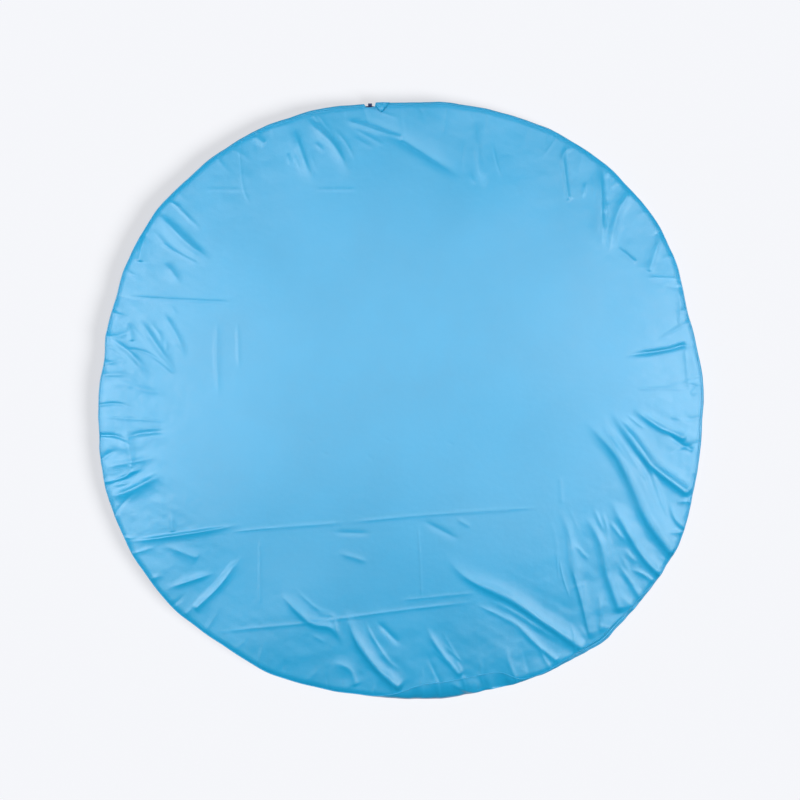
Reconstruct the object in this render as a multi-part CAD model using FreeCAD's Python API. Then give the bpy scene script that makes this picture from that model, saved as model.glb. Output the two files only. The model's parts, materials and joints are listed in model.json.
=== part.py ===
"""Fitted spa cover of PVC film, lying flat with its skirt turned under.

Units are millimetres. +Z is up, and z = 0 is the floor that the cover lies on. The origin is
at the centre of the cover, +X runs along its longer side, and +Y points to the drawcord lock.
"""
import FreeCAD, Part
import math
import os

V = FreeCAD.Vector
UP = V(0, 0, 1)

# --- Outline: four long side arcs joined by four tighter corner arcs, all tangent ---
HALF_X = 900.0            # centre to the rim, along X
HALF_Y = 887.5            # centre to the rim, along Y
SIDE_RADIUS = 1150.0      # the four flatter sides
CORNER_RADIUS = 720.0     # the four corners between them

# --- Film and rim ---
FILM = 0.4                # thickness of the PVC film
TOP_Z = 45.0              # upper face of the top panel
SEAM_INSET = 14.0         # the seam lies this far inside the rim
SEAM_LAP = 16.0           # the skirt's edge runs this far under the top panel
FLOOR_ROLL = 25.0         # outer radius where the skirt turns under
PIPING_RADIUS = 1.2

# --- Hem ---
HEM_INSET = 97.0          # rim to the centre of the hem casing
CASING_RADIUS = 8.0       # outer radius of the folded casing
CASING_OPEN_DEG = 20.0    # the fold stops short of closing by this angle
WELD_GAP = 0.05           # between the skirt's edge and the casing strip that is welded to it

# --- Elastic drawcord and its lock, at the back rim ---
CORD_RADIUS = 2.0
OUTLET_X = -89.5          # the lock's cord slot, along X
STRAND_GAP = 2.2          # each strand from the slot's middle, in the lock
OUTLET_GAP = 9.0          # each strand from the slot's middle, at the hem
KINK_RADIUS = 4.5         # where a strand turns into the casing
LOCK_Y = 870.8            # centre of the lock
LOCK_RADIUS = 7.7
LOCK_CLOSED_END = -15.0   # the closed end of the barrel, from the slot's middle
LOCK_OPEN_END = 12.0
BORE_RADIUS = 5.6
BORE_END = -13.0
PLUNGER_RADIUS = 5.45
PLUNGER_TOP = 18.0
PLUNGER_FOOT = -6.45
PLUNGER_TRAVEL = 3.0
SLOT_HALF = 4.6           # half the width of the body's cord slot
SLOT_HALF_HEIGHT = 2.4
SPRING_RADIUS = 3.4
SPRING_WIRE = 0.45
SPRING_TURNS = 2.5
SLIDE_ROOM = 25.0         # the lock can slide this far towards the hem

# --- Window in the skirt where the drawcord leaves, and the tab beside it ---
WINDOW_HALF = 34.0
NOTCH_HALF = 20.0
TAB_X = -56.0
TAB_HALF = 25.0
TAB_DEPTH = 33.0
TAB_THICK = 0.8


def side_centre(angle):
    """Centre of the side arc that faces the angle (degrees)."""
    reach = HALF_X if angle % 180 == 0 else HALF_Y
    turn = math.radians(angle)
    away = reach - SIDE_RADIUS
    return V(away * math.cos(turn), away * math.sin(turn), 0)


def corner_centre(angle):
    """Centre of the corner arc that faces the diagonal angle, tangent to both side arcs."""
    across = side_centre(0).x
    along = side_centre(90).y
    gap = SIDE_RADIUS - CORNER_RADIUS
    half = math.hypot(across, along) / 2
    rise = math.sqrt(gap ** 2 - half ** 2)
    x = across / 2 + rise * abs(along) / (2 * half)
    y = along / 2 + rise * abs(across) / (2 * half)
    turn = math.radians(angle)
    return V(math.copysign(x, math.cos(turn)), math.copysign(y, math.sin(turn)), 0)


def rim_arcs():
    """The eight arcs, anticlockwise from the right: facing angle, centre, radius, start, end."""
    corner = corner_centre(45)
    east = side_centre(0)
    north = side_centre(90)
    low = math.degrees(math.atan2(corner.y - east.y, corner.x - east.x))
    high = math.degrees(math.atan2(corner.y - north.y, corner.x - north.x))
    arcs = []
    for quarter in (0, 90, 180, 270):
        swing = low if quarter % 180 == 0 else 90 - high
        arcs.append((quarter, side_centre(quarter), SIDE_RADIUS, quarter - swing, quarter + swing))
        first = quarter + swing
        last = quarter + 90 - (90 - high if quarter % 180 == 0 else low)
        arcs.append((quarter + 45, corner_centre(quarter + 45), CORNER_RADIUS, first, last))
    return arcs


def polar(centre, radius, angle):
    turn = math.radians(angle)
    return V(centre.x + radius * math.cos(turn), centre.y + radius * math.sin(turn), centre.z)


def arc_edge(centre, radius, start, end, z=0.0):
    middle = V(centre.x, centre.y, z)
    points = [polar(middle, radius, a) for a in (start, (start + end) / 2, end)]
    return Part.Arc(*points).toShape()


def outline(inset, z=0.0):
    """The closed outline, moved inward by inset."""
    edges = [arc_edge(c, r - inset, a, b, z) for _, c, r, a, b in rim_arcs()]
    return Part.Wire(edges)


def strip_face(path, thick):
    """A thin section in the XZ plane, from a path of lines and clockwise arcs.

    A line is ("line", start, end) and an arc is ("arc", centre, radius, start, end), in
    degrees. Points are (x, z).
    """
    def side(offset):
        edges = []
        for kind, *data in path:
            if kind == "line":
                (x0, z0), (x1, z1) = data
                length = math.hypot(x1 - x0, z1 - z0)
                dx = -(z1 - z0) / length * offset
                dz = (x1 - x0) / length * offset
                edges.append((V(x0 + dx, 0, z0 + dz), None, V(x1 + dx, 0, z1 + dz)))
            else:
                (cx, cz), radius, start, end = data
                places = []
                for angle in (start, (start + end) / 2, end):
                    turn = math.radians(angle)
                    reach = radius + offset
                    places.append(V(cx + reach * math.cos(turn), 0, cz + reach * math.sin(turn)))
                edges.append(tuple(places))
        return edges

    def edge(points):
        if points[1] is None:
            return Part.LineSegment(points[0], points[2]).toShape()
        return Part.Arc(*points).toShape()

    outer = side(thick / 2)
    inner = side(-thick / 2)
    edges = [edge(e) for e in outer]
    edges.append(Part.LineSegment(outer[-1][2], inner[-1][2]).toShape())
    edges += [edge(e[::-1]) for e in reversed(inner)]
    edges.append(Part.LineSegment(inner[0][0], outer[0][0]).toShape())
    return Part.Face(Part.Wire(edges))


def skirt_section():
    """The skirt's film: under the top panel, over the rim and under the cover."""
    lap_z = TOP_Z - 1.5 * FILM
    top_roll = SEAM_INSET - FILM / 2
    floor_roll = FLOOR_ROLL - FILM / 2
    seam = -SEAM_INSET
    turn = -FLOOR_ROLL
    hem = -HEM_INSET + WELD_GAP
    outer = -FILM / 2
    path = [
        ("line", (seam - SEAM_LAP, lap_z), (seam, lap_z)),
        ("arc", (seam, lap_z - top_roll), top_roll, 90, 0),
        ("line", (outer, lap_z - top_roll), (outer, FLOOR_ROLL)),
        ("arc", (turn, FLOOR_ROLL), floor_roll, 0, -90),
        ("line", (turn, FILM / 2), (hem, FILM / 2)),
    ]
    return strip_face(path, FILM)


def casing_section():
    """The strip of film that is folded round the drawcord."""
    radius = CASING_RADIUS - FILM / 2
    centre = (-HEM_INSET, CASING_RADIUS)
    return strip_face([("arc", centre, radius, -90, -450 + CASING_OPEN_DEG)], FILM)


def round_the_rim(face, arc):
    """Turns a section, drawn with x measured from the rim, along one arc of the outline."""
    _, centre, radius, start, end = arc
    section = face.copy()
    section.translate(V(radius, 0, 0))
    section.rotate(V(0, 0, 0), UP, start)
    section.translate(centre)
    return section.revolve(centre, UP, end - start)


def joined(shapes):
    whole = shapes[0]
    for shape in shapes[1:]:
        whole = whole.fuse(shape)
    return whole.removeSplitter()


def box(x0, x1, y0, y1, z0, z1):
    return Part.makeBox(x1 - x0, y1 - y0, z1 - z0, V(x0, y0, z0))


def rod_y(radius, x, z, y0, y1):
    return Part.makeCylinder(radius, y1 - y0, V(x, y0, z), V(0, 1, 0))


def rod_x(radius, x0, x1):
    """A round bar along the lock's own axis."""
    return Part.makeCylinder(radius, x1 - x0, V(OUTLET_X + x0, LOCK_Y, CASING_RADIUS), V(1, 0, 0))


def casing_y(x):
    """The hem casing's centreline at the back of the cover."""
    return side_centre(90).y + math.sqrt((SIDE_RADIUS - HEM_INSET) ** 2 - x ** 2)


def rim_y(x):
    return side_centre(90).y + math.sqrt(SIDE_RADIUS ** 2 - x ** 2)


def top_panel():
    return Part.Face(outline(SEAM_INSET, TOP_Z - FILM)).extrude(V(0, 0, FILM))


def rim_piping():
    """A round bead on the film, against the top panel's edge."""
    centre = V(-SEAM_INSET + PIPING_RADIUS, 0, TOP_Z - FILM / 2 + PIPING_RADIUS)
    circle = Part.Circle(centre, V(0, 1, 0), PIPING_RADIUS).toShape()
    face = Part.Face(Part.Wire(circle))
    return joined([round_the_rim(face, arc) for arc in rim_arcs()])


def skirt_window():
    """What is cut from the back skirt so that the drawcord and its lock can come out."""
    low = casing_y(OUTLET_X) + CASING_RADIUS + 2
    left = OUTLET_X - WINDOW_HALF
    right = OUTLET_X + WINDOW_HALF
    under = box(left, right, low, HALF_Y + 5, -1, TOP_Z - SEAM_INSET)
    seam_y = rim_y(OUTLET_X) - SEAM_INSET
    notch_left = OUTLET_X - NOTCH_HALF
    notch_right = OUTLET_X + NOTCH_HALF
    notch = box(notch_left, notch_right, seam_y + 2.5, HALF_Y + 5, 10, TOP_Z + 1)
    return under.fuse(notch)


def grommet_hole(x):
    y = casing_y(x)
    return rod_y(CORD_RADIUS + 0.9, x, CASING_RADIUS, y, y + CASING_RADIUS + 2)


def hem_with_holes(casing):
    for side in (-1, 1):
        casing = casing.cut(grommet_hole(OUTLET_X + side * OUTLET_GAP))
    return casing


def cord_grommet(side, film):
    """A soft grommet with a lip on each side of the casing's film."""
    x = OUTLET_X + side * OUTLET_GAP
    y = casing_y(x)
    z = CASING_RADIUS
    blank = rod_y(4.5, x, z, y + CASING_RADIUS - 2.4, y + CASING_RADIUS + 1.2)
    bore = rod_y(CORD_RADIUS + 0.2, x, z, y, y + 2 * CASING_RADIUS)
    pieces = blank.cut(film).cut(bore).Solids
    return max(pieces, key=lambda s: s.Volume)


def rounded_route(points, radii):
    """Straight runs joined by tangent arcs. radii gives the arc at each inner point."""
    edges = []
    start = points[0]
    for before, corner, after, radius in zip(points, points[1:], points[2:], radii):
        arriving = (corner - before).normalize()
        leaving = (after - corner).normalize()
        half = arriving.getAngle(leaving) / 2
        cut = radius * math.tan(half)
        first = corner - arriving * cut
        last = corner + leaving * cut
        inward = (leaving - arriving).normalize()
        middle = corner + inward * (radius / math.cos(half) - radius)
        edges.append(Part.LineSegment(start, first).toShape())
        edges.append(Part.Arc(first, middle, last).toShape())
        start = last
    edges.append(Part.LineSegment(start, points[-1]).toShape())
    return edges


def strand(side):
    """One end of the drawcord, from the cord end through the lock and the grommet."""
    z = CASING_RADIUS
    radius = SIDE_RADIUS - HEM_INSET
    hem_x = OUTLET_X + side * OUTLET_GAP
    lock_x = OUTLET_X + side * STRAND_GAP
    centre = side_centre(90)
    join = math.degrees(math.acos((hem_x + side * 24) / radius))
    touch = polar(centre, radius, join)
    along = V(-math.sin(math.radians(join)), math.cos(math.radians(join)), 0)
    corner_y = touch.y + along.y / along.x * (hem_x - touch.x)
    parallel_from = LOCK_Y - LOCK_RADIUS - SLIDE_ROOM - 2
    points = [
        V(lock_x, LOCK_Y + LOCK_RADIUS + 5.4, z),
        V(lock_x, parallel_from, z),
        V(hem_x, corner_y + 18, z),
        V(hem_x, corner_y, z),
        V(touch.x, touch.y, z),
    ]
    return rounded_route(points, [60, 30, KINK_RADIUS]), join


def drawcord():
    """The elastic cord: out of one grommet, and all the way round the hem to the other."""
    z = CASING_RADIUS
    right, right_join = strand(1)
    left, left_join = strand(-1)
    arcs = rim_arcs()
    north = arcs[2]
    ring = [arc_edge(north[1], north[2] - HEM_INSET, left_join, north[4], z)]
    for _, centre, radius, start, end in arcs[3:] + arcs[:2]:
        ring.append(arc_edge(centre, radius - HEM_INSET, start, end, z))
    ring.append(arc_edge(north[1], north[2] - HEM_INSET, north[3], right_join, z))
    edges = left + ring + right[::-1]
    path = Part.Wire(Part.__sortEdges__(edges))
    start = V(OUTLET_X - STRAND_GAP, LOCK_Y + LOCK_RADIUS + 5.4, z)
    circle = Part.Wire(Part.Circle(start, V(0, 1, 0), CORD_RADIUS).toShape())
    cord = path.makePipeShell([circle], True, False)
    ideal = math.pi * CORD_RADIUS ** 2 * path.Length
    print("drawcord length", round(path.Length, 1), "volume share", round(cord.Volume / ideal, 4))
    return cord


def cord_end():
    """A moulded end that holds both ends of the drawcord."""
    y = LOCK_Y + LOCK_RADIUS + 0.4
    z = CASING_RADIUS
    block = box(OUTLET_X - 6, OUTLET_X + 6, y, y + 7.4, z - 3.5, z + 3.5)
    block = block.makeFillet(1.4, block.Edges)
    for side in (-1, 1):
        x = OUTLET_X + side * STRAND_GAP
        block = block.cut(rod_y(CORD_RADIUS, x, z, y - 1, y + 5))
    return block


def cord_slot(x0, x1, half_height):
    z = CASING_RADIUS
    reach = LOCK_RADIUS + 2
    return box(OUTLET_X + x0, OUTLET_X + x1, LOCK_Y - reach, LOCK_Y + reach,
               z - half_height, z + half_height)


def lock_body():
    barrel = rod_x(LOCK_RADIUS, LOCK_CLOSED_END, LOCK_OPEN_END)
    round_edges = [e for e in barrel.Edges if isinstance(e.Curve, Part.Circle)]
    barrel = barrel.makeFillet(1.5, round_edges)
    bore = rod_x(BORE_RADIUS, BORE_END, LOCK_OPEN_END + 1)
    return barrel.cut(bore).cut(cord_slot(-SLOT_HALF, SLOT_HALF, SLOT_HALF_HEIGHT))


def lock_plunger():
    pin = rod_x(PLUNGER_RADIUS, PLUNGER_FOOT, PLUNGER_TOP)
    top = [e for e in pin.Edges if abs(e.CenterOfMass.x - OUTLET_X - PLUNGER_TOP) < 0.01]
    pin = pin.makeFillet(2.0, top)
    reach = STRAND_GAP + CORD_RADIUS
    near = -reach - 0.05
    far = reach + PLUNGER_TRAVEL + 0.35
    return pin.cut(cord_slot(near, far, SLOT_HALF_HEIGHT))


def lock_spring():
    """A small compression spring between the bottom of the bore and the plunger's foot."""
    low = BORE_END + SPRING_WIRE + 0.1
    length = PLUNGER_FOOT - BORE_END - 2 * (SPRING_WIRE + 0.1)
    helix = Part.makeHelix(length / SPRING_TURNS, length, SPRING_RADIUS)
    start = V(SPRING_RADIUS, 0, 0)
    circle = Part.Wire(Part.Circle(start, V(0, 1, 0), SPRING_WIRE).toShape())
    coil = Part.Wire(helix).makePipeShell([circle], True, True)
    coil.rotate(V(0, 0, 0), V(0, 1, 0), 90)
    coil.translate(V(OUTLET_X + low, LOCK_Y, CASING_RADIUS))
    return coil


def keeper_tab():
    """A triangle of doubled film that lies on the piping and points inward."""
    z = TOP_Z - FILM / 2 + 2 * PIPING_RADIUS
    outer = rim_y(TAB_X - TAB_HALF) - 1.5
    corners = [
        V(TAB_X - TAB_HALF, outer, z),
        V(TAB_X, outer - TAB_DEPTH, z),
        V(TAB_X + TAB_HALF, outer, z),
    ]
    tab = Part.Face(Part.makePolygon(corners + corners[:1])).extrude(V(0, 0, TAB_THICK))
    upright = [e for e in tab.Edges if abs(e.BoundBox.ZLength - TAB_THICK) < 1e-6]
    return tab.makeFillet(3.0, upright)


def film_lengths():
    """The lengths of skirt and casing, anticlockwise from the right side: name and arc."""
    names = ("right", "right_back", "back", "left_back", "left", "left_front", "front", "right_front")
    lengths = []
    for name, (facing, centre, radius, start, end) in zip(names, rim_arcs()):
        if name == "back":
            lengths.append(("back_right_half", (facing, centre, radius, start, facing)))
            lengths.append(("back_left_half", (facing, centre, radius, facing, end)))
        elif name == "front":
            lengths.append(("front_left_half", (facing, centre, radius, start, facing)))
            lengths.append(("front_right_half", (facing, centre, radius, facing, end)))
        else:
            lengths.append((name, (facing, centre, radius, start, end)))
    return lengths


skirt_profile = skirt_section()
casing_profile = casing_section()
nodes = {
    "top_panel": top_panel(),
    "rim_piping": rim_piping(),
}
for place, arc in film_lengths():
    nodes[f"skirt_{place}"] = round_the_rim(skirt_profile, arc)
    nodes[f"hem_casing_{place}"] = round_the_rim(casing_profile, arc)
nodes["skirt_back_left_half"] = nodes["skirt_back_left_half"].cut(skirt_window())
lock_casing = hem_with_holes(nodes["hem_casing_back_left_half"])
nodes["hem_casing_back_left_half"] = lock_casing
nodes.update({
    "drawcord": drawcord(),
    "cord_grommet_left": cord_grommet(-1, lock_casing),
    "cord_grommet_right": cord_grommet(1, lock_casing),
    "cord_end": cord_end(),
    "lock_body": lock_body(),
    "lock_plunger": lock_plunger(),
    "lock_spring": lock_spring(),
    "keeper_tab": keeper_tab(),
})

os.makedirs("parts", exist_ok=True)
for name, shape in nodes.items():
    extent = shape.BoundBox
    print(name, len(shape.Solids), shape.isValid(), round(shape.Volume, 1),
          [round(v, 2) for v in (extent.XMin, extent.YMin, extent.ZMin,
                                 extent.XMax, extent.YMax, extent.ZMax)])
    shape.exportStep(f"parts/{name}.step")
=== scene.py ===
"""Visual model of the fitted spa cover: satin PVC film lying flat, its skirt turned under.

Metres, +Z up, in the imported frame. The film pieces, the piping and the lock's spring are
meshes that replace CAD nodes. The drawcord, its grommets, its end and the rest of its lock
are the CAD nodes themselves.
"""
import json
import math
import bpy
import mathutils
import numpy as np
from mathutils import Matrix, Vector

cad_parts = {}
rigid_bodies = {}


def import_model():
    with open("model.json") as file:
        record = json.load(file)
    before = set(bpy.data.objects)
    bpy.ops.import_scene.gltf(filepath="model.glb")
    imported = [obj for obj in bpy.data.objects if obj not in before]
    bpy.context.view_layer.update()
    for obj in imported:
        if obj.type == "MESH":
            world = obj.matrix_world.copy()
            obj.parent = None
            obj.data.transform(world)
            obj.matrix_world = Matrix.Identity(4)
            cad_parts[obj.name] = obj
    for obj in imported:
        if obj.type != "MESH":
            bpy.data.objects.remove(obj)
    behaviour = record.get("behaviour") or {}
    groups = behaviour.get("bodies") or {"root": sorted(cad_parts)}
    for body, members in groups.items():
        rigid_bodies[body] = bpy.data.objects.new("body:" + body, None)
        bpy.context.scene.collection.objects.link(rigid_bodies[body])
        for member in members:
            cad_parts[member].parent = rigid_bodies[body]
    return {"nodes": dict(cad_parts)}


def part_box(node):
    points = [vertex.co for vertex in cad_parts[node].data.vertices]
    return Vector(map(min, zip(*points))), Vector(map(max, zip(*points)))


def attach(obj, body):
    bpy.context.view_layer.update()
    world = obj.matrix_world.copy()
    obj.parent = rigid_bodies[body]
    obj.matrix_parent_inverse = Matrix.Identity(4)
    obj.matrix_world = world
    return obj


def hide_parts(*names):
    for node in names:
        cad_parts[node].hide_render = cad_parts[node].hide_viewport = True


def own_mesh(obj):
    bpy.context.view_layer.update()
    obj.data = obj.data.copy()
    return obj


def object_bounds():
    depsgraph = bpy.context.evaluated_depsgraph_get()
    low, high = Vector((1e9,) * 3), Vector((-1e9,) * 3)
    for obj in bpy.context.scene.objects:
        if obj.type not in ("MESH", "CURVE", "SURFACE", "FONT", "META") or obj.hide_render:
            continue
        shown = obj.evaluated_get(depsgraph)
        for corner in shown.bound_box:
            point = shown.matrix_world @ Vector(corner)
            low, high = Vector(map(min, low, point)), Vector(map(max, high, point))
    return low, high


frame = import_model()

cad_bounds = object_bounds()

# --- Outline, as in the CAD: four side arcs and four corner arcs ---
HALF_X = cad_bounds[1][0]
HALF_Y = -cad_bounds[0][1]
SIDE_RADIUS = 1.150
CORNER_RADIUS = 0.720
PLACES = ("right_back", "back_right_half", "back_left_half", "left_back", "left", "left_front",
          "front_left_half", "front_right_half", "right_front", "right")

# --- Film ---
TOP_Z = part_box("top_panel")[1][2]
TOP_LIMIT = 0.0545
SEAM_LAP = 0.016
HEM_INSET = 0.097
CASING_RADIUS = 0.008
FILM = 0.0004
PIPING_RADIUS = 0.0012
CASING_RINGS = 22

# --- Places round the rim, in degrees anticlockwise from the right ---
LOCK_AT = 95.7
PULLED_FROM = 271
PULLED_TO = 292
LAYERS_AT = 311

# --- The skirt's window for the cord lock ---
WINDOW_HALF = 0.034
WINDOW_TOP = 0.031
WINDOW_BACK = 0.805

# --- Mesh ---
GRID = 480
COLUMNS = 4 * GRID


# ---------------------------------------------------------------- outline
def base_outline():
    """Polar angle (degrees) and radius of the arcs' outline."""
    cx = HALF_X - SIDE_RADIUS
    cy = HALF_Y - SIDE_RADIUS
    half = math.hypot(cx, cy) / 2
    rise = math.sqrt((SIDE_RADIUS - CORNER_RADIUS) ** 2 - half ** 2)
    x = cx / 2 + rise * abs(cy) / (2 * half)
    y = cy / 2 + rise * abs(cx) / (2 * half)
    low = math.atan2(y, x - cx)
    high = math.atan2(y - cy, x)
    side_x = np.linspace(0, low, 200)
    corner = np.linspace(low, high, 200)
    side_y = np.linspace(high, math.pi / 2, 200)
    px = np.concatenate([cx + SIDE_RADIUS * np.cos(side_x), x + CORNER_RADIUS * np.cos(corner),
                         SIDE_RADIUS * np.cos(side_y)])
    py = np.concatenate([SIDE_RADIUS * np.sin(side_x), y + CORNER_RADIUS * np.sin(corner),
                         cy + SIDE_RADIUS * np.sin(side_y)])
    angle = np.degrees(np.arctan2(py, px))
    joints = [float(np.degrees(np.arctan2(SIDE_RADIUS * math.sin(low), cx + SIDE_RADIUS * math.cos(low)))),
              float(np.degrees(np.arctan2(cy + SIDE_RADIUS * math.sin(high), SIDE_RADIUS * math.cos(high))))]
    return angle, np.hypot(px, py), joints


OUTLINE_ANGLE, OUTLINE_RADIUS, JOINTS = base_outline()


def quarter(theta):
    """The first-quadrant angle with the same outline radius."""
    a = np.mod(theta, 180.0)
    return np.where(a > 90, 180 - a, a)


def bump(theta, centre, width):
    away = (theta - centre + 180) % 360 - 180
    return np.exp(-(away / width) ** 2)


def polar(r, theta):
    """x and y at a radius and an angle in degrees."""
    turn = np.radians(theta)
    return r * np.cos(turn), r * np.sin(turn)


def ease(t):
    """A smooth step from 0 to 1."""
    return t ** 2 * (3 - 2 * t)


def arc_radius(theta):
    return np.interp(quarter(theta), OUTLINE_ANGLE, OUTLINE_RADIUS)


# The soft rim stands out and draws in a little: angle, width (degrees), amount (mm).
RIM_BUMPS = [
    (17, 8, -11), (64, 7, 11), (82, 5, 5), (104, 6, 4), (134, 12, -13), (152, 7, -9),
    (169, 6, -12), (190, 6, 6), (214, 8, -4), (233, 9, -16), (252, 7, -7), (283, 9, 7),
    (298, 6, 7), (311, 6, 14), (322, 4, 2), (332, 6, 10), (343, 5, 6),
    (4, 5, 5), (36, 10, 4), (52, 6, 6), (75, 6, 9), (112, 7, 3), (161, 4, -8), (168, 3, 6), (174, 4, -5),
    (187, 4, -5), (198, 8, 6), (222, 8, -6), (235, 6, -4), (251, 5, 5), (275, 6, 5), (294, 8, 5),
    (310, 3, 4), (313, 2.5, -5), (322, 5, 4), (335, 6, 6), (353, 8, 4),
]


def rim_shift(theta):
    """How far the rim stands outside the CAD outline."""
    total = np.zeros_like(theta)
    for centre, width, amount in RIM_BUMPS:
        total += 0.001 * amount * bump(theta, centre, width)
    ripple = 0.0010 * np.sin(np.radians(theta) * 31 + 1.0)
    ripple += 0.0005 * np.sin(np.radians(theta) * 53 + 2.0)
    return total + ripple


def rim_radius(theta):
    return arc_radius(theta) + rim_shift(theta)


def pulled(theta):
    """1 where the skirt is pulled up over the front rim, 0 elsewhere."""
    return 0.5 * (np.tanh((theta - PULLED_FROM) / 4.0) - np.tanh((theta - PULLED_TO) / 1.7))


def seam_inset(theta):
    """The seam lies inside the rim, most of all where the skirt is pulled up at the front."""
    edge = 0.006 + 0.006 * bump(theta, 92, 30) + 0.004 * bump(theta, 0, 18)
    lock = 0.007 * bump(theta, LOCK_AT, 1.7)
    return edge + 0.048 * pulled(theta) + 0.014 * bump(theta, LAYERS_AT, 10) + lock


def seam_radius(theta):
    return rim_radius(theta) - seam_inset(theta)


# ---------------------------------------------------------------- relief of the top film
def smooth_path(points, steps=8):
    """A Catmull-Rom curve through the points."""
    p = np.array(points, float)
    p = np.vstack([2 * p[0] - p[1], p, 2 * p[-1] - p[-2]])
    t = np.linspace(0, 1, steps, endpoint=False)[:, None]
    runs = []
    for i in range(1, len(p) - 2):
        a, b, c, d = p[i - 1], p[i], p[i + 1], p[i + 2]
        runs.append(0.5 * (2 * b + (c - a) * t + (2 * a - 5 * b + 4 * c - d) * t ** 2
                           + (3 * b - a - 3 * c + d) * t ** 3))
    runs.append(p[-2][None, :])
    return np.vstack(runs)


def add_fold(x, y, z, points, height, width, lean=0.0, tail=(0.3, 0.3), crisp=False):
    """Raises one fold along a path. height and width in mm; lean makes its left side wider."""
    h = height * 0.001
    w = width * 0.001
    path = smooth_path(points)
    reach = 3.2 * w * (1 + abs(lean))
    low = path.min(axis=0) - reach
    high = path.max(axis=0) + reach
    near = np.nonzero((x > low[0]) & (x < high[0]) & (y > low[1]) & (y < high[1]))[0]
    if not len(near):
        return
    px = x[near]
    py = y[near]
    steps = np.hypot(*np.diff(path, axis=0).T)
    along = np.concatenate([[0], np.cumsum(steps)])
    best = np.full(len(near), 1e9)
    where = np.zeros(len(near))
    side = np.zeros(len(near))
    for i, length in enumerate(steps):
        a = path[i]
        d = (path[i + 1] - a) / length
        s = np.clip((px - a[0]) * d[0] + (py - a[1]) * d[1], 0, length)
        qx = px - a[0] - s * d[0]
        qy = py - a[1] - s * d[1]
        dist = np.hypot(qx, qy)
        closer = dist < best
        best[closer] = dist[closer]
        where[closer] = (along[i] + s[closer]) / along[-1]
        side[closer] = np.sign(d[0] * qy - d[1] * qx)[closer]
    wide = w * (1 + lean * side)
    if crisp:
        shape = np.exp(-best / wide)
    else:
        shape = 0.62 * np.exp(-(best / wide) ** 2) + 0.38 * np.exp(-(2.3 * best / wide) ** 2)
    rise_in = np.clip(where / max(tail[0], 1e-3), 0, 1)
    fall_out = np.clip((1 - where) / max(tail[1], 1e-3), 0, 1)
    z[near] += h * shape * ease(rise_in) * ease(fall_out)


def waves(x, y, wavelength, seed, count=14):
    """A smooth random field of unit size with about the given wavelength."""
    own = np.random.default_rng(seed)
    total = np.zeros_like(x)
    for _ in range(count):
        k = 2 * math.pi / wavelength * own.uniform(0.65, 1.35)
        a = own.uniform(0, 2 * math.pi)
        total += np.sin(k * (x * math.cos(a) + y * math.sin(a)) + own.uniform(0, 6.28))
    return total / math.sqrt(count / 2)


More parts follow.
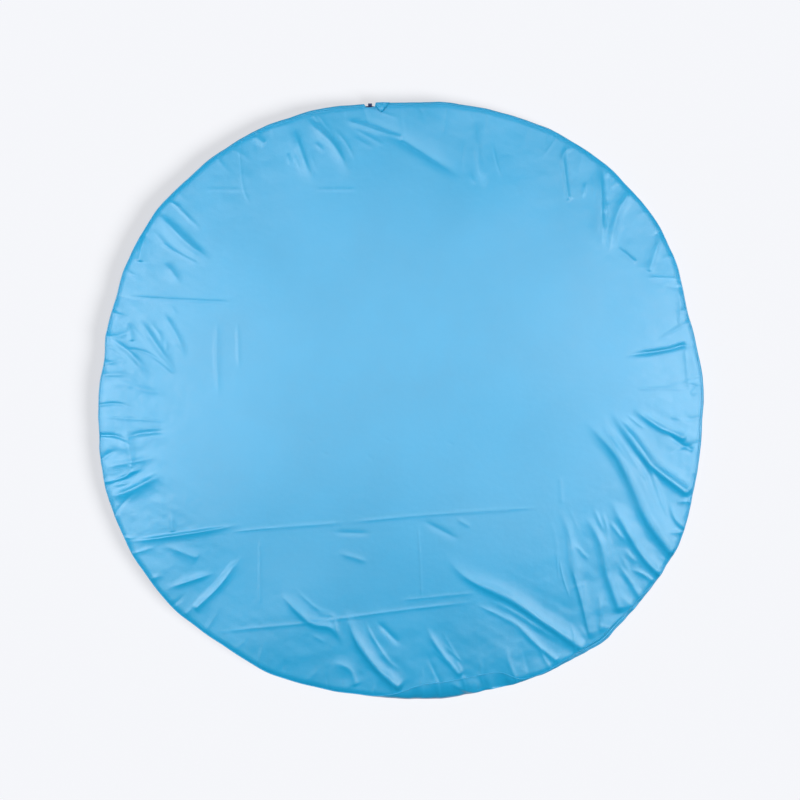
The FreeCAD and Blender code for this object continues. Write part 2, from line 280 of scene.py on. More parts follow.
# Soft folds of the top film: points on the crest, height and width in mm, and lean.
SOFT_FOLDS = [
    # front right, running out to the rim
    ([(0.128, -0.455), (0.200, -0.530), (0.327, -0.593), (0.431, -0.664), (0.560, -0.752)], 8, 20, 0.45),
    ([(0.340, -0.660), (0.395, -0.717), (0.470, -0.778)], 3.5, 11, 0.3),
    ([(0.070, -0.660), (0.113, -0.738), (0.180, -0.822)], 4, 13, 0.3),
    ([(0.472, -0.316), (0.502, -0.405), (0.514, -0.506), (0.538, -0.595), (0.566, -0.712)], 5, 13, 0.5),
    ([(0.591, -0.566), (0.597, -0.690)], 2.5, 10, 0.3),
    ([(0.545, -0.335), (0.594, -0.423), (0.615, -0.521), (0.655, -0.635)], 7, 17, 0.45),
    ([(0.642, -0.477), (0.677, -0.530), (0.718, -0.595)], 3.5, 12, 0.3),
    ([(0.620, -0.290), (0.680, -0.402), (0.725, -0.471), (0.780, -0.528)], 7, 19, 0.45),
    ([(0.540, -0.050), (0.642, -0.162), (0.695, -0.260), (0.737, -0.355), (0.820, -0.470)], 12, 28, 0.5),
    ([(0.620, -0.020), (0.680, -0.111), (0.751, -0.198), (0.862, -0.285)], 8, 20, 0.45),
    ([(0.683, -0.019), (0.766, -0.079), (0.850, -0.118)], 4, 14, 0.4),
    ([(0.780, -0.080), (0.826, -0.126), (0.872, -0.150)], -3, 10, 0.0),
    ([(0.516, -0.424), (0.562, -0.478)], 1.2, 5, 0.0),
    ([(0.499, -0.562), (0.546, -0.548)], 0.9, 5, 0.0),
    ([(0.800, -0.300), (0.815, -0.350), (0.855, -0.392)], 3, 10, 0.4),
    # front
    ([(-0.165, -0.615), (-0.128, -0.716), (-0.066, -0.800), (0.005, -0.862)], 8, 19, 0.4),
    ([(-0.360, -0.570), (-0.270, -0.659), (-0.205, -0.678), (-0.165, -0.735)], 5, 15, 0.35),
    ([(-0.071, -0.655), (0.006, -0.732)], -3, 11, 0.0),
    ([(-0.205, -0.775), (-0.150, -0.800), (-0.130, -0.850)], 3, 14, 0.0),
    ([(-0.205, -0.393), (-0.080, -0.397)], -1.2, 8, 0.0),
    ([(-0.186, -0.452), (-0.090, -0.483)], 1.4, 9, 0.0),
    ([(0.065, -0.358), (0.178, -0.417)], -1.6, 10, 0.0),
    ([(0.166, -0.352), (0.214, -0.379)], 1.0, 7, 0.0),
    # front left
    ([(-0.830, -0.424), (-0.683, -0.404), (-0.560, -0.385), (-0.469, -0.368)], 3.4, 9, -0.5),
    ([(-0.690, -0.560), (-0.550, -0.513)], 3.0, 10, 0.2),
    ([(-0.470, -0.462), (-0.535, -0.550), (-0.612, -0.625)], 3.6, 11, 0.0),
    ([(-0.870, -0.290), (-0.802, -0.268), (-0.700, -0.215)], 6, 17, -0.3),
    ([(-0.880, -0.200), (-0.800, -0.185), (-0.720, -0.170)], 3, 14, 0.0),
    ([(-0.830, -0.120), (-0.772, -0.100), (-0.680, -0.092)], -3, 11, 0.0),
    ([(-0.815, -0.085), (-0.800, -0.160), (-0.790, -0.220)], 3.5, 15, -0.2),
    ([(-0.884, -0.245), (-0.814, -0.228), (-0.798, -0.190)], 2.4, 7, 0.3),
    ([(-0.680, -0.330), (-0.674, -0.392)], 1.6, 8, 0.0),
    ([(-0.700, -0.430), (-0.600, -0.470)], 2.0, 14, 0.0),
    # left
    ([(-0.775, 0.245), (-0.720, 0.160), (-0.665, 0.085)], 5.0, 15, -0.3),
    ([(-0.705, 0.265), (-0.662, 0.190), (-0.632, 0.122)], 4.0, 12, -0.3),
    ([(-0.880, 0.196), (-0.800, 0.140), (-0.740, 0.065)], 4.0, 13, -0.3),
    ([(-0.806, 0.235), (-0.796, 0.175)], 2.4, 9, 0.0),
    ([(-0.850, 0.060), (-0.760, 0.030), (-0.690, 0.020)], 2.0, 14, 0.0),
    ([(-0.542, 0.240), (-0.545, 0.130), (-0.538, 0.010)], 3.0, 8, 0.3),
    ([(-0.483, 0.236), (-0.478, 0.080)], 1.5, 6, 0.2),
    # back left
    ([(-0.720, 0.560), (-0.645, 0.480), (-0.560, 0.410)], 7, 18, -0.35),
    ([(-0.700, 0.410), (-0.648, 0.342)], 2.6, 12, 0.0),
    ([(-0.318, 0.810), (-0.284, 0.712), (-0.258, 0.640)], 5.5, 16, -0.35),
    ([(-0.285, 0.842), (-0.196, 0.757), (-0.150, 0.665)], 5.5, 16, -0.35),
    ([(-0.130, 0.835), (-0.060, 0.806), (0.020, 0.766), (0.190, 0.655)], -5.0, 22, 0.3),
    ([(-0.175, 0.835), (-0.080, 0.806), (0.010, 0.778)], 3.5, 10, 0.0),
    ([(-0.755, 0.500), (-0.775, 0.410)], 4, 12, 0.2),
    ([(-0.440, 0.790), (-0.400, 0.760)], 2.5, 12, 0.0),
    # back
    ([(0.228, 0.830), (0.232, 0.720), (0.250, 0.625)], 4, 16, 0.3),
    ([(0.530, 0.750), (0.487, 0.735), (0.490, 0.660), (0.500, 0.590)], 3.4, 10, 0.2),
    ([(0.592, 0.715), (0.597, 0.600), (0.600, 0.440)], 6.0, 17, -0.35),
    ([(0.700, 0.640), (0.650, 0.560), (0.618, 0.430)], 5.0, 17, -0.3),
    ([(0.780, 0.500), (0.760, 0.440), (0.740, 0.380)], 2.5, 14, -0.3),
    ([(0.655, 0.130), (0.785, 0.148), (0.850, 0.166)], -3.2, 9, 0.0),
    ([(0.645, 0.455), (0.700, 0.408)], 1.6, 6, 0.0),
]

# Packing creases: points, height and width in mm.
CREASES = [
    ([(-0.826, 0.310), (-0.731, 0.301), (-0.493, 0.290)], 1.3, 3.2),
    ([(-0.582, 0.625), (-0.445, 0.625)], 0.7, 2.8),
    ([(-0.255, 0.625), (-0.125, 0.625)], 0.7, 2.8),
    ([(-0.885, -0.050), (-0.690, -0.064)], 1.1, 3.2),
    ([(-0.505, -0.393), (-0.404, -0.382), (-0.163, -0.364)], 0.9, 3.0),
    ([(-0.163, -0.364), (0.027, -0.346), (0.178, -0.334), (0.416, -0.319)], 1.0, 3.0),
    ([(-0.558, -0.690), (-0.386, -0.673), (-0.267, -0.661), (0.000, -0.625), (0.232, -0.598)], 1.2, 3.2),
    ([(0.000, -0.595), (0.226, -0.572)], 0.8, 2.8),
    ([(0.737, 0.364), (0.823, 0.361)], 1.0, 3.0),
    ([(0.701, 0.034), (0.849, 0.034)], 1.0, 3.0),
    ([(-0.478, 0.750), (-0.466, 0.634), (-0.445, 0.581)], 1.0, 3.2),
    ([(0.053, -0.370), (0.059, -0.465), (0.065, -0.595)], 0.8, 2.8),
    ([(-0.416, -0.405), (-0.416, -0.613)], 0.8, 2.8),
    ([(0.475, -0.227), (0.481, -0.310)], 1.0, 3.0),
    ([(0.832, 0.325), (0.832, 0.212)], 1.3, 3.2),
    ([(0.846, 0.159), (0.858, 0.028)], 1.3, 3.2),
    ([(0.858, 0.048), (0.880, 0.040), (0.868, 0.022), (0.886, 0.014)], 1.4, 3.2),
    ([(-0.814, 0.153), (-0.754, 0.141), (-0.707, 0.111), (-0.665, 0.076)], 1.8, 3.4),
    ([(-0.713, 0.468), (-0.653, 0.432), (-0.597, 0.402)], 1.5, 3.4),
    ([(-0.486, -0.471), (-0.606, -0.613)], 0.8, 2.8),
]

# Small dents near the middle, left by packing.
DENTS = [
    (-0.220, 0.515), (-0.169, 0.420), (-0.080, 0.411), (-0.149, 0.293), (-0.122, 0.212),
    (-0.187, 0.055), (0.030, 0.064), (-0.267, -0.120), (-0.223, -0.159), (-0.089, -0.171),
    (-0.036, -0.120), (0.149, -0.129), (0.306, 0.325),
]


def rim_puckers():
    """Short folds where the skirt's fullness pulls on the seam, at uneven distances."""
    own = np.random.default_rng(7)
    folds = []
    theta = 0.0
    while theta < 360:
        theta += own.uniform(2.2, 6.5)
        length = own.uniform(0.035, 0.12)
        turn = math.radians(theta)
        start = float(seam_radius(np.array([theta]))[0]) + 0.004
        swing = turn + own.uniform(-0.5, 0.5)
        first = (start * math.cos(turn), start * math.sin(turn))
        last = (first[0] - length * math.cos(swing), first[1] - length * math.sin(swing))
        bend = own.uniform(-0.12, 0.12) * length
        middle = (0.5 * (first[0] + last[0]) - bend * math.sin(turn),
                  0.5 * (first[1] + last[1]) + bend * math.cos(turn))
        lively = 0.35 + 0.65 * max(float(bump(theta, 310, 55)), float(bump(theta, 190, 32)))
        height = own.uniform(0.6, 2.4) * own.choice([1, 1, -1]) * lively
        folds.append(([last, middle, first], height, own.uniform(5, 12), own.uniform(-0.4, 0.4)))
    return folds


def companions():
    """Thin folds beside the big ones, as the film buckles next to a fold."""
    own = np.random.default_rng(11)
    folds = []
    for points, height, width, _ in SOFT_FOLDS:
        if abs(height) < 4:
            continue
        path = smooth_path(points, 5)
        for _ in range(3):
            count = int(own.uniform(0.35, 0.75) * len(path))
            first = own.integers(0, len(path) - count)
            part = path[first:first + count]
            along = part[-1] - part[0]
            across = np.array([-along[1], along[0]]) / (np.hypot(*along) + 1e-9)
            shift = across * own.choice([-1, 1]) * own.uniform(1.2, 3.0) * width * 0.001
            drift = across * own.uniform(-0.018, 0.018) * np.linspace(0, 1, len(part))[:, None]
            size = own.uniform(0.12, 0.3) * abs(height)
            folds.append(((part + shift + drift)[::2].tolist(), size, own.uniform(0.25, 0.5) * width, 0.0))
    return folds


def top_relief(x, y):
    """Height of the film's folds above the panel's plain surface."""
    r = np.hypot(x, y)
    outer = np.clip((r - 0.45) / 0.35, 0, 1)
    z = 0.0009 * waves(x, y, 0.60, 1) + 0.0007 * waves(x, y, 0.28, 2) * outer
    theta = np.degrees(np.arctan2(y, x))
    lively = 0.35 + 0.65 * np.maximum(bump(theta, 300, 55), bump(theta, 190, 32))
    z += 0.00030 * waves(x, y, 0.085, 3) * outer ** 2 * lively
    z += 0.00010 * waves(x, y, 0.035, 4) * outer ** 2 * lively
    for points, height, width, lean in SOFT_FOLDS:
        reaches_rim = math.hypot(*points[-1]) > 0.76
        tail = (0.45, 0.06) if reaches_rim else (0.35, 0.35)
        middle = np.mean(points, axis=0)
        quiet = 0.8 if middle[1] > -0.3 and middle[0] < 0.5 else 1.0
        add_fold(x, y, z, points, quiet * height, width, 0.8 * lean, tail)
    for points, height, width, lean in rim_puckers():
        add_fold(x, y, z, points, height, width, lean, (0.6, 0.02))
    for points, height, width, lean in companions():
        add_fold(x, y, z, points, height, width, lean, (0.4, 0.4))
    for px, py in DENTS:
        add_fold(x, y, z, [(px - 0.014, py + 0.010), (px + 0.014, py - 0.010)], -0.35, 5, 0, (0.4, 0.4))
    for points, height, width in CREASES:
        add_fold(x, y, z, points, height, width, crisp=True, tail=(0.15, 0.15))
    return z


def top_height(x, y, inset):
    """The top film's height: nearly flat, rounded down towards the seam, and under TOP_LIMIT."""
    fall_width = 0.022
    fall = np.clip(1 - inset / fall_width, 0, 1)
    z = TOP_Z + 0.0015 - 0.006 * fall ** 2 + top_relief(x, y)
    soft = 0.003
    start = TOP_LIMIT - soft
    return np.where(z > start, start + soft * np.tanh((z - TOP_LIMIT + soft) / soft), z)


# ---------------------------------------------------------------- meshes
def new_piece(name, verts, faces, material, body="cover"):
    mesh = bpy.data.meshes.new(name)
    mesh.from_pydata([tuple(v) for v in verts.tolist()], [], faces)
    mesh.polygons.foreach_set("use_smooth", [True] * len(mesh.polygons))
    mesh.materials.append(material)
    mesh.update()
    obj = bpy.data.objects.new(name, mesh)
    bpy.context.scene.collection.objects.link(obj)
    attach(obj, body)
    return obj


def disc_grid():
    """A square grid bent to a disc: unit radius and angle of every point, and its faces."""
    line = np.linspace(-1, 1, GRID + 1)
    u, v = np.meshgrid(line, line)
    reach = np.maximum(np.abs(u), np.abs(v))
    wide = np.abs(u) >= np.abs(v)
    longer = np.where(wide, np.where(u == 0, 1, u), np.where(v == 0, 1, v))
    ratio = np.where(wide, v, u) / longer
    angle = np.where(wide, 45 * ratio, 90 - 45 * ratio)
    angle = np.where(wide & (u < 0), angle + 180, angle)
    angle = np.where(~wide & (v < 0), angle + 180, angle)
    angle = np.where(reach == 0, 0, angle)
    n = GRID + 1
    i, j = np.meshgrid(np.arange(GRID), np.arange(GRID))
    a = (j * n + i).ravel()
    faces = np.stack([a, a + 1, a + n + 1, a + n], axis=1).tolist()
    return reach.ravel(), np.mod(angle, 360).ravel(), faces


def top_film(material):
    reach, theta, faces = disc_grid()
    seam = seam_radius(theta)
    r = reach * seam
    x, y = polar(r, theta)
    z = top_height(x, y, rim_radius(theta) - r)
    return new_piece("top_film", np.stack([x, y, z], axis=1), faces, material)


def bezier(p0, p1, p2, p3, count):
    t = np.linspace(0, 1, count, endpoint=False)[:, None]
    return (1 - t) ** 3 * p0 + 3 * t * (1 - t) ** 2 * p1 + 3 * t ** 2 * (1 - t) * p2 + t ** 3 * p3


def flare(theta):
    """How far the skirt stands out below its shoulder."""
    more = 0.0036 * bump(theta, 255, 36) + 0.0012 * bump(theta, 75, 35)
    return 0.0022 + more - 0.0008 * bump(theta, 180, 25)


def skirt_profile(inset, seam_z, stand_out, drop):
    """Rings of the skirt at one angle: inset from the rim and height, seam to casing."""
    seam = np.array([inset, seam_z])
    shoulder = np.array([min(stand_out, 0.6 * inset), seam_z - 0.005 - drop])
    span = inset - shoulder[0]
    upper = bezier(seam, seam + [-0.6 * span, -0.0006], shoulder + [0.0008, 0.003], shoulder, 16)
    out = np.array([0.0, 0.015])
    wall = bezier(shoulder, shoulder - [0.0014, 0.006], out + [0.0003, 0.008], out, 8)
    floor = np.array([0.020, 0.0006])
    lower = bezier(out, out - [0, 0.009], floor - [0.010, 0], floor, 8)
    flat_end = np.array([HEM_INSET, 0.0004])
    under = bezier(floor, floor + [0.02, 0], flat_end - [0.02, 0], flat_end, 14)
    turn = np.radians(np.linspace(-90, -430, CASING_RINGS))
    ring = CASING_RADIUS - 0.0004
    casing = np.stack([HEM_INSET - ring * np.cos(turn), CASING_RADIUS + ring * np.sin(turn)], 1)
    return np.vstack([upper, wall, lower, under, casing])


def column_angles():
    """The angles of the grid's edge points, anticlockwise from the right."""
    return np.arange(COLUMNS) * 360.0 / COLUMNS


def gathers(theta):
    """Uneven gathers round the skirt, of about unit size."""
    t = np.radians(theta)
    phase = 3.0 * np.sin(3 * t + 0.4) + 2.2 * np.sin(7 * t + 1.3) + 1.2 * np.sin(13 * t)
    a = np.sin(118 * t + phase)
    b = np.sin(71 * t - phase + 1.0)
    c = np.sin(203 * t + 2 * phase + 2.0)
    return 0.5 * a + 0.35 * b + 0.2 * c


def skirt_points():
    """Every ring of the skirt, all the way round: shape (rings, columns, 3)."""
    theta = column_angles()
    seam = seam_radius(theta)
    sx, sy = polar(seam, theta)
    seam_z = top_height(sx, sy, seam_inset(theta))
    rings_at = zip(seam_inset(theta), seam_z, flare(theta), 0.009 * pulled(theta))
    rows = np.stack([skirt_profile(*ring) for ring in rings_at], axis=1)
    rings = rows.shape[0]
    share = np.linspace(0, 1, rings)[:, None]
    inset = rows[..., 0]
    z = rows[..., 1].copy()
    hem_share = np.clip((inset - 0.02) / (HEM_INSET - 0.03), 0, 1) * (share > 0.35)
    radius = arc_radius(theta)[None, :] + rim_shift(theta)[None, :] * (1 - hem_share) - inset
    wave = gathers(theta)[None, :]
    loose = 0.25 + 1.0 * bump(theta, 284, 14) + 0.5 * bump(theta, 318, 16) + 0.3 * bump(theta, 200, 30)
    lift = np.interp(share.ravel(), [0, 0.08, 0.22, 0.42, 0.62, 0.66, 1], [0, 0.5, 1, 0.6, 0.4, 0.1, 0])
    amount = 0.004 * lift[:, None] * loose[None, :]
    outward = np.interp(share.ravel(), [0, 0.15, 0.3, 0.42, 1], [0, 0.05, 0.15, 0.05, 0])[:, None]
    radius += amount * wave * outward
    # Two grooves beside the seam, for the layered edges.
    for groove in (0.0065, 0.0125):
        depth = 0.0024 * bump(theta, LAYERS_AT, 11)[None, :]
        z -= depth * np.exp(-((inset - groove) / 0.0016) ** 2) * (share < 0.3)
    # The pleat's flap: a steep edge that slants over the skirt, highest at the shoulder.
    pleat = theta[None, :] - (279.6 + 5.0 * share / 0.25)
    step = 1 / (1 + np.exp(np.clip(-pleat / 0.12, -50, 50)))
    flap = step * (1 - np.clip((pleat - 4.0) / 5.0, 0, 1)) * pulled(theta)[None, :]
    z += 0.0095 * flap * np.interp(share, [0.02, 0.235, 0.353], [0, 1, 0])
    dip = (lock_dip(sx) * (sy > 0))[None, :] * (share < 0.4)
    radius = radius * (1 - dip) + (seam + 0.0008)[None, :] * dip
    upward = 1 - outward
    z += amount * np.where(share > 0.4, np.abs(wave), wave) * upward
    z = np.maximum(z, 0.0003)
    x, y = polar(radius, theta)
    body = np.stack([x, y, z], axis=2)
    return np.concatenate([lap_rings(theta), body], axis=0)


def lap_rings(theta):
    """The skirt's welded edge, just under the top film."""
    rings = []
    for under in (SEAM_LAP, 0.5 * SEAM_LAP):
        x, y = polar(seam_radius(theta) - under, theta)
        z = top_height(x, y, seam_inset(theta) + under) - 2 * FILM
        rings.append(np.stack([x, y, z], axis=1))
    return np.stack(rings)


def lap_columns():
    """The columns where one length of skirt meets the next, from the first after the right side."""
    a, b = JOINTS
    angles = (a, b, 90, 180 - b, 180 - a, 180 + a, 180 + b, 270, 360 - b, 360 - a)
    return [int(round(angle / 360.0 * COLUMNS)) for angle in angles]


def lock_dip(x):
    """1 where the back rim is drawn in to the seam behind the cord lock, falling to 0 beside it."""
    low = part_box("lock_body")[0][0]
    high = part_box("lock_plunger")[1][0]
    away = np.abs(x - 0.5 * (low + high)) - 0.5 * (high - low)
    edge = 0.004
    near = np.clip(1 - (away + edge) / edge, 0, 1)
    return ease(near)


def window_faces(part):
    """Which faces of the back skirt are cut away round the cord lock: (rings - 1, columns - 1)."""
    rings = part.shape[0]
    low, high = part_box("cord_end")
    middle = 0.5 * (low[0] + high[0])
    centre = 0.25 * (part[:-1, :-1] + part[1:, :-1] + part[:-1, 1:] + part[1:, 1:])
    share = (np.arange(rings - 1) / (rings - 1))[:, None]
    away = np.abs(centre[..., 0] - middle)
    back = centre[..., 1] > WINDOW_BACK
    return (away < WINDOW_HALF) & (centre[..., 2] < WINDOW_TOP) & back & (share > 0.1)


def strip_faces(rings, columns, cut=None):
    keep = np.ones((rings - 1, columns - 1), bool) if cut is None else ~cut
    i, j = np.nonzero(keep)
    a = i * columns + j
    return np.stack([a, a + columns, a + columns + 1, a + 1], axis=1).tolist()


def skirt_films(material):
    """The skirt and the hem casing, each in ten lengths."""
    points = skirt_points()
    split = points.shape[0] - CASING_RINGS
    laps = lap_columns()
    skirts = []
    casings = []
    for k, place in enumerate(PLACES):
        start = laps[k]
        stop = laps[(k + 1) % len(laps)]
        if stop < start:
            stop += COLUMNS
        part = points[:, np.arange(start, stop + 1) % COLUMNS]
        columns = part.shape[1]
        film = part[:split + 1]
        cut = window_faces(film) if place == "back_left_half" else None
        skirt = new_piece(f"skirt_film_{place}", film.reshape(-1, 3),
                          strip_faces(split + 1, columns, cut), material)
        hem = part[split:]
        casing = new_piece(f"hem_film_{place}", hem.reshape(-1, 3),
                           strip_faces(CASING_RINGS, columns), material)
        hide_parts(f"skirt_{place}")
        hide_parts(f"hem_casing_{place}")
        skirts.append(skirt)
        casings.append(casing)
    return skirts, casings


def tube(name, path, radius, sides, material, body="cover", closed=True):
    """A round bar along a path."""
    p = np.array(path)
    ahead = np.roll(p, -1, axis=0) - np.roll(p, 1, axis=0) if closed else np.gradient(p, axis=0)
    ahead /= np.linalg.norm(ahead, axis=1)[:, None]
    across = np.cross(ahead, [0, 0, 1.0])
    across /= np.linalg.norm(across, axis=1)[:, None]
    up = np.cross(across, ahead)
    turn = np.linspace(0, 2 * math.pi, sides, endpoint=False)
    side = across[:, None] * np.cos(turn)[None, :, None]
    ring = (side + up[:, None] * np.sin(turn)[None, :, None]) * radius
    verts = (p[:, None] + ring).reshape(-1, 3)
    n = len(p)
    faces = []
    for i in range(n if closed else n - 1):
        for j in range(sides):
            a = i * sides + j
            b = i * sides + (j + 1) % sides
            c = (i + 1) % n * sides + (j + 1) % sides
            d = (i + 1) % n * sides + j
            faces.append((a, b, c, d))
    if not closed:
        faces.append(tuple(range(sides - 1, -1, -1)))
        faces.append(tuple(range((n - 1) * sides, n * sides)))
    return new_piece(name, verts, faces, material, body)


def spring(material):
    """The lock's spring, as a coil of fixed shape; the real one closes up as the button is pressed."""
    low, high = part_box("lock_spring")
    wire_radius = 0.00045
    turns = 2.5
    points = 121
    radius = 0.5 * (high[1] - low[1]) - wire_radius
    fixed = (low[0], 0.5 * (low[1] + high[1]), 0.5 * (low[2] + high[2]))
    turn = np.linspace(0, 2 * math.pi * turns, points)
    x = np.linspace(low[0] + wire_radius, high[0] - wire_radius, points)
    y = fixed[1] + radius * np.cos(turn)
    z = fixed[2] + radius * np.sin(turn)
    coil = tube("spring_coil", np.stack([x, y, z], 1), wire_radius, 10, material,
                "cord_lock", closed=False)
    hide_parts("lock_spring")
    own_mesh(coil)
    return coil


def piping(material):
    """The bead just outside the seam."""
    theta = column_angles()
    seam = seam_radius(theta)
    x, y = polar(seam + PIPING_RADIUS, theta)
    z = top_height(*polar(seam, theta), seam_inset(theta)) + 0.5 * PIPING_RADIUS
    return tube("piping_bead", np.stack([x, y, z], 1), PIPING_RADIUS, 8, material)


def tab_film(material):
    """The keeper tab: a folded triangle of film on the piping, pointing inward."""
    low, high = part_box("keeper_tab")
    count = 24
    t, s = np.meshgrid(np.linspace(0, 1, count + 1), np.linspace(-1, 1, count + 1), indexing="ij")
    half = 0.54 * (high[0] - low[0]) * (1 - t) ** 0.85 + 0.0015
    x = (0.5 * (low[0] + high[0]) + s * half).ravel()
    turn = np.arctan2(high[1], x)
    dip = lock_dip(x)
    plain = rim_radius(np.degrees(turn)) - 0.003
    drawn_in = seam_radius(np.degrees(turn)) + 0.002
    base = plain * (1 - dip) + drawn_in * dip
    y = base * np.sin(turn) - t.ravel() * (high[1] - low[1])
    theta = np.degrees(np.arctan2(y, x))
    inset = np.maximum(rim_radius(theta) - np.hypot(x, y), 0)
    z = top_height(x, y, inset)
    edge = np.exp(-((1 - np.abs(s)) / 0.20) ** 2) + np.exp(-((1 - t) / 0.16) ** 2)
    lift = 0.0014 + 0.0024 * np.minimum(edge, 1) + 0.0006 * np.sin(5 * s + 3 * t)
    verts = np.stack([x, y, z + lift.ravel()], axis=1)
    faces = []
    n = count + 1
    for i in range(count):
        for j in range(count):
            a = i * n + j
            faces.append((a, a + n, a + n + 1, a + 1))
    return new_piece("keeper_tab_film", verts, faces, material)


# ---------------------------------------------------------------- materials
def node(tree, kind, **inputs):
    n = tree.nodes.new(kind)
    for key, value in inputs.items():
        socket = n.inputs[key.replace("_", " ")]
        if isinstance(value, bpy.types.NodeSocket):
            tree.links.new(value, socket)
        else:
            socket.default_value = value
    return n


def blank_material(name):
    material = bpy.data.materials.new(name)
    material.use_nodes = True
    tree = material.node_tree
    tree.nodes.clear()
    out = tree.nodes.new("ShaderNodeOutputMaterial")
    shader = tree.nodes.new("ShaderNodeBsdfPrincipled")
    tree.links.new(shader.outputs[0], out.inputs[0])
    place = tree.nodes.new("ShaderNodeTexCoord").outputs["Object"]
    return material, tree, shader, place


def ramp(tree, factor, stops):
    n = tree.nodes.new("ShaderNodeValToRGB")
    tree.links.new(factor, n.inputs[0])
    cr = n.color_ramp
    while len(cr.elements) < len(stops):
        cr.elements.new(0.5)
    for element, (at, colour) in zip(cr.elements, stops):
        element.position = at
        element.color = (*colour, 1)
    return n.outputs[0]


def map_range(tree, value, low, high):
    n = node(tree, "ShaderNodeMapRange", Value=value)
    n.inputs["To Min"].default_value = low
    n.inputs["To Max"].default_value = high
    return n.outputs[0]


def paint_shade_low_down(tree, shader, place):
    """Painted shade low on the skirt: its film is coloured a deeper blue and made less glossy from 31 mm
    down to 23 mm above the floor.
    """
    height = node(tree, "ShaderNodeSeparateXYZ", Vector=place).outputs["Z"]
    rise = node(tree, "ShaderNodeMapRange", Value=height)
    rise.inputs["From Min"].default_value = 0.023
    rise.inputs["From Max"].default_value = 0.031
    upper = shader.inputs["Base Color"].links[0].from_socket
    blend = tree.nodes.new("ShaderNodeMix")
    blend.data_type = "RGBA"
    # A Mix node's colour sockets are found by number: inputs 6 and 7, output 2.
    tree.links.new(rise.outputs[0], blend.inputs["Factor"])
    # The painted shade's deeper blue, full at 23 mm and gone at 31 mm.
    blend.inputs[6].default_value = (*PAINTED_SHADE_BLUE, 1)
    tree.links.new(upper, blend.inputs[7])
    tree.links.new(blend.outputs[2], shader.inputs["Base Color"])
    # The painted shade also lowers the gloss low down.
    sheen = map_range(tree, rise.outputs[0], 0.05, 0.5)
    tree.links.new(sheen, shader.inputs["Specular IOR Level"])


def film_material(name, colour, roughness=0.34, skirt=False):
    material, tree, shader, place = blank_material(name)
    cloud = node(tree, "ShaderNodeTexNoise", Vector=place, Scale=5.0, Detail=4.0)
    deep = tuple(0.97 * c for c in colour)
    pale = tuple(min(1, 1.025 * c + 0.001) for c in colour)
    tree.links.new(ramp(tree, cloud.outputs[0], [(0.35, deep), (0.65, pale)]), shader.inputs["Base Color"])
    rub = node(tree, "ShaderNodeTexNoise", Vector=place, Scale=38.0, Detail=5.0)
    rough = map_range(tree, rub.outputs[0], roughness - 0.05, roughness + 0.06)
    tree.links.new(rough, shader.inputs["Roughness"])
    grain = node(tree, "ShaderNodeTexNoise", Vector=place, Scale=900.0, Detail=2.0)
    soft = node(tree, "ShaderNodeTexNoise", Vector=place, Scale=60.0, Detail=3.0)
    fine = node(tree, "ShaderNodeBump", Strength=0.12, Distance=0.0004, Height=grain.outputs[0])
    broad = node(tree, "ShaderNodeBump", Strength=0.25, Distance=0.0012, Height=soft.outputs[0],
                 Normal=fine.outputs[0])
    tree.links.new(broad.outputs[0], shader.inputs["Normal"])
    shader.inputs["IOR"].default_value = 1.6
    if skirt:
        # The skirt's film gets painted shade low down.
        paint_shade_low_down(tree, shader, place)
    return material


def cord_material():
    material, tree, shader, place = blank_material("braided_cord")
    weave = node(tree, "ShaderNodeTexVoronoi", Vector=place, Scale=900.0)
    tone = ramp(tree, weave.outputs["Distance"], [(0.0, (0.02, 0.06, 0.16)), (0.7, (0.05, 0.13, 0.30))])
    tree.links.new(tone, shader.inputs["Base Color"])
    bump_node = node(tree, "ShaderNodeBump", Strength=0.6, Distance=0.0003, Height=weave.outputs["Distance"])
    tree.links.new(bump_node.outputs[0], shader.inputs["Normal"])
    shader.inputs["Roughness"].default_value = 0.75
    return material


def plastic_material(name, colour, roughness, scale):
    material, tree, shader, place = blank_material(name)
    cloud = node(tree, "ShaderNodeTexNoise", Vector=place, Scale=scale, Detail=5.0)
    stops = [(0.3, tuple(0.8 * c for c in colour)), (0.7, tuple(1.2 * c for c in colour))]
    tree.links.new(ramp(tree, cloud.outputs[0], stops), shader.inputs["Base Color"])
    rough = map_range(tree, cloud.outputs[0], roughness - 0.08, roughness + 0.08)
    tree.links.new(rough, shader.inputs["Roughness"])
    grain = node(tree, "ShaderNodeTexNoise", Vector=place, Scale=2500.0, Detail=2.0)
    bump_node = node(tree, "ShaderNodeBump", Strength=0.3, Distance=0.0001, Height=grain.outputs[0])
    tree.links.new(bump_node.outputs[0], shader.inputs["Normal"])
    return material


def wire_material():
    material, tree, shader, place = blank_material("spring_wire")
    drawn = node(tree, "ShaderNodeTexNoise", Vector=place, Scale=1500.0, Detail=4.0)
    tone = ramp(tree, drawn.outputs[0], [(0.3, (0.45, 0.45, 0.47)), (0.7, (0.66, 0.66, 0.68))])
    tree.links.new(tone, shader.inputs["Base Color"])
    tree.links.new(map_range(tree, drawn.outputs[0], 0.25, 0.42), shader.inputs["Roughness"])
    shader.inputs["Metallic"].default_value = 1.0
    return material


def paint(name, material):
    """Gives a CAD node's object its material."""
    obj = frame["nodes"][name]
    if not obj.material_slots:
        obj.data.materials.append(material)
    for slot_ in obj.material_slots:
        slot_.material = material


# ---------------------------------------------------------------- build
FILM_BLUE = (0.006, 0.290, 0.540)
# The deeper blue of the painted shade low on the skirt.
PAINTED_SHADE_BLUE = (0.004, 0.165, 0.42)
film = film_material("film", FILM_BLUE)
# The skirt's film, with painted shade low down.
skirt_pvc = film_material("skirt_film", FILM_BLUE, skirt=True)
piping_pvc = film_material("piping_pvc", (0.015, 0.32, 0.57), 0.30)
cord = cord_material()
rubber = plastic_material("grommet_rubber", (0.02, 0.06, 0.16), 0.6, 500.0)
lock_plastic = plastic_material("lock_plastic", (0.004, 0.024, 0.13), 0.5, 260.0)
wire = wire_material()

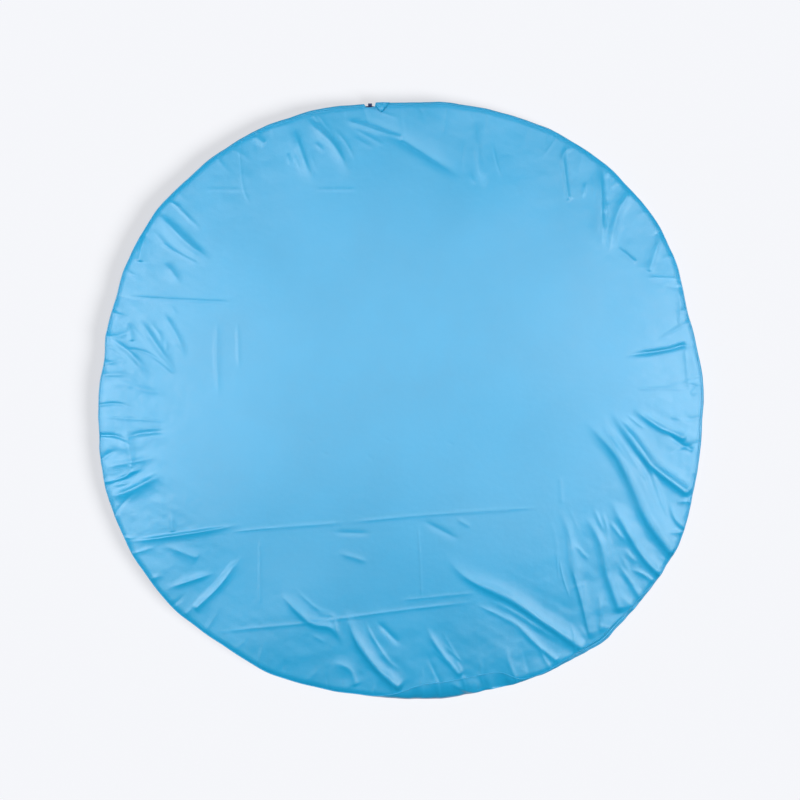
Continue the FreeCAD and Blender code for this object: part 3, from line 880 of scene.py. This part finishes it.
top = top_film(film)
skirts, casings = skirt_films(skirt_pvc)
bead = piping(piping_pvc)
tab = tab_film(film)

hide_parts("top_panel")
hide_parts("rim_piping")
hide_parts("keeper_tab")

paint("drawcord", cord)
for cad in ("cord_grommet_left", "cord_grommet_right"):
    paint(cad, rubber)
for cad in ("lock_body", "lock_plunger", "cord_end"):
    paint(cad, lock_plastic)
coil = spring(wire)

# The cut lengths of the skirt and of the casing: right and left, halves of the back and front, corners.
for place, skirt, casing in zip(PLACES, skirts, casings):
    if place in ("right", "left"):
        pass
    elif place.endswith("half"):
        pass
    else:
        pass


# ---------------------------------------------------------------- stage, light and camera
def floor():
    mesh = bpy.data.meshes.new("floor")
    half = 12.0
    corners = [(-half, -half, 0), (half, -half, 0), (half, half, 0), (-half, half, 0)]
    mesh.from_pydata(corners, [], [(0, 1, 2, 3)])
    obj = bpy.data.objects.new("floor", mesh)
    bpy.context.scene.collection.objects.link(obj)
    material = bpy.data.materials.new("floor")
    material.use_nodes = True
    tree = material.node_tree
    tree.nodes.clear()
    out = tree.nodes.new("ShaderNodeOutputMaterial")
    pale = (0.905, 0.914, 0.947, 1)
    glow = node(tree, "ShaderNodeEmission", Color=pale, Strength=1.0)
    matt = node(tree, "ShaderNodeBsdfDiffuse", Color=pale)
    mix = tree.nodes.new("ShaderNodeMixShader")
    mix.inputs[0].default_value = 0.25
    tree.links.new(glow.outputs[0], mix.inputs[1])
    tree.links.new(matt.outputs[0], mix.inputs[2])
    tree.links.new(mix.outputs[0], out.inputs[0])
    mesh.materials.append(material)
    return obj


def only_lights(light, name, objects):
    group = bpy.data.collections.new(name)
    for o in objects:
        group.objects.link(o)
    light.light_linking.receiver_collection = group


def area_light(name, place, target, size, radiance):
    data = bpy.data.lights.new(name, "AREA")
    data.shape = "RECTANGLE"
    data.size, data.size_y = size
    data.energy = radiance * math.pi * size[0] * size[1]
    obj = bpy.data.objects.new(name, data)
    obj.location = place
    away = [t - p for t, p in zip(target, place)]
    obj.rotation_euler = mathutils.Vector(away).to_track_quat("-Z", "Y").to_euler()
    bpy.context.scene.collection.objects.link(obj)
    return obj


ground = floor()
shown = [top, *skirts, *casings, bead, tab, coil] + [bpy.data.objects[n] for n in (
    "drawcord", "cord_grommet_left", "cord_grommet_right", "cord_end", "lock_body", "lock_plunger")]

lights = [
    area_light("softbox_left", (-2.4, 0.0, 2.2), (-0.2, 0, 0), (1.2, 2.8), 5.2),
    area_light("softbox_right", (2.4, 0.0, 2.2), (0.2, 0, 0), (1.2, 2.8), 5.2),
    area_light("softbox_back", (0.0, 3.3, 3.0), (0, 0.6, 0), (3.4, 1.0), 2.6),
    area_light("overhead", (0.0, 0.35, 5.5), (0, 0.35, 0), (5.0, 2.2), 3.7),
    area_light("overhead_left", (-2.1, 0.2, 5.4), (-2.1, 0.2, 0), (1.5, 2.6), 2.8),
    area_light("overhead_right", (2.1, 0.2, 5.4), (2.1, 0.2, 0), (1.5, 2.6), 3.2),
]
for light in lights:
    only_lights(light, f"lit_by_{light.name}", shown)

sun_data = bpy.data.lights.new("sun", "SUN")
sun_data.energy = 5.47
sun_data.angle = math.radians(26)
sun = bpy.data.objects.new("sun", sun_data)
bpy.context.scene.collection.objects.link(sun)
elevation = math.radians(35)
azimuth = math.radians(154)
level = math.cos(elevation)
beam = mathutils.Vector((math.cos(azimuth) * level, math.sin(azimuth) * level, -math.sin(elevation)))
sun.rotation_euler = beam.to_track_quat("-Z", "Y").to_euler()
only_lights(sun, "lit_by_sun", [ground])

world = bpy.data.worlds.new("studio")
bpy.context.scene.world = world
world.use_nodes = True
background = world.node_tree.nodes["Background"]
background.inputs["Color"].default_value = (1, 1, 1, 1)
background.inputs["Strength"].default_value = 0.05

camera_data = bpy.data.cameras.new("camera")
camera_data.lens = 85
camera_data.sensor_width = 36
camera = bpy.data.objects.new("camera", camera_data)
view_width = 2.376
camera.location = (0, 0, TOP_Z + view_width * camera_data.lens / camera_data.sensor_width)
bpy.context.scene.collection.objects.link(camera)
bpy.context.scene.camera = camera
bpy.context.scene.view_settings.view_transform = "Standard"
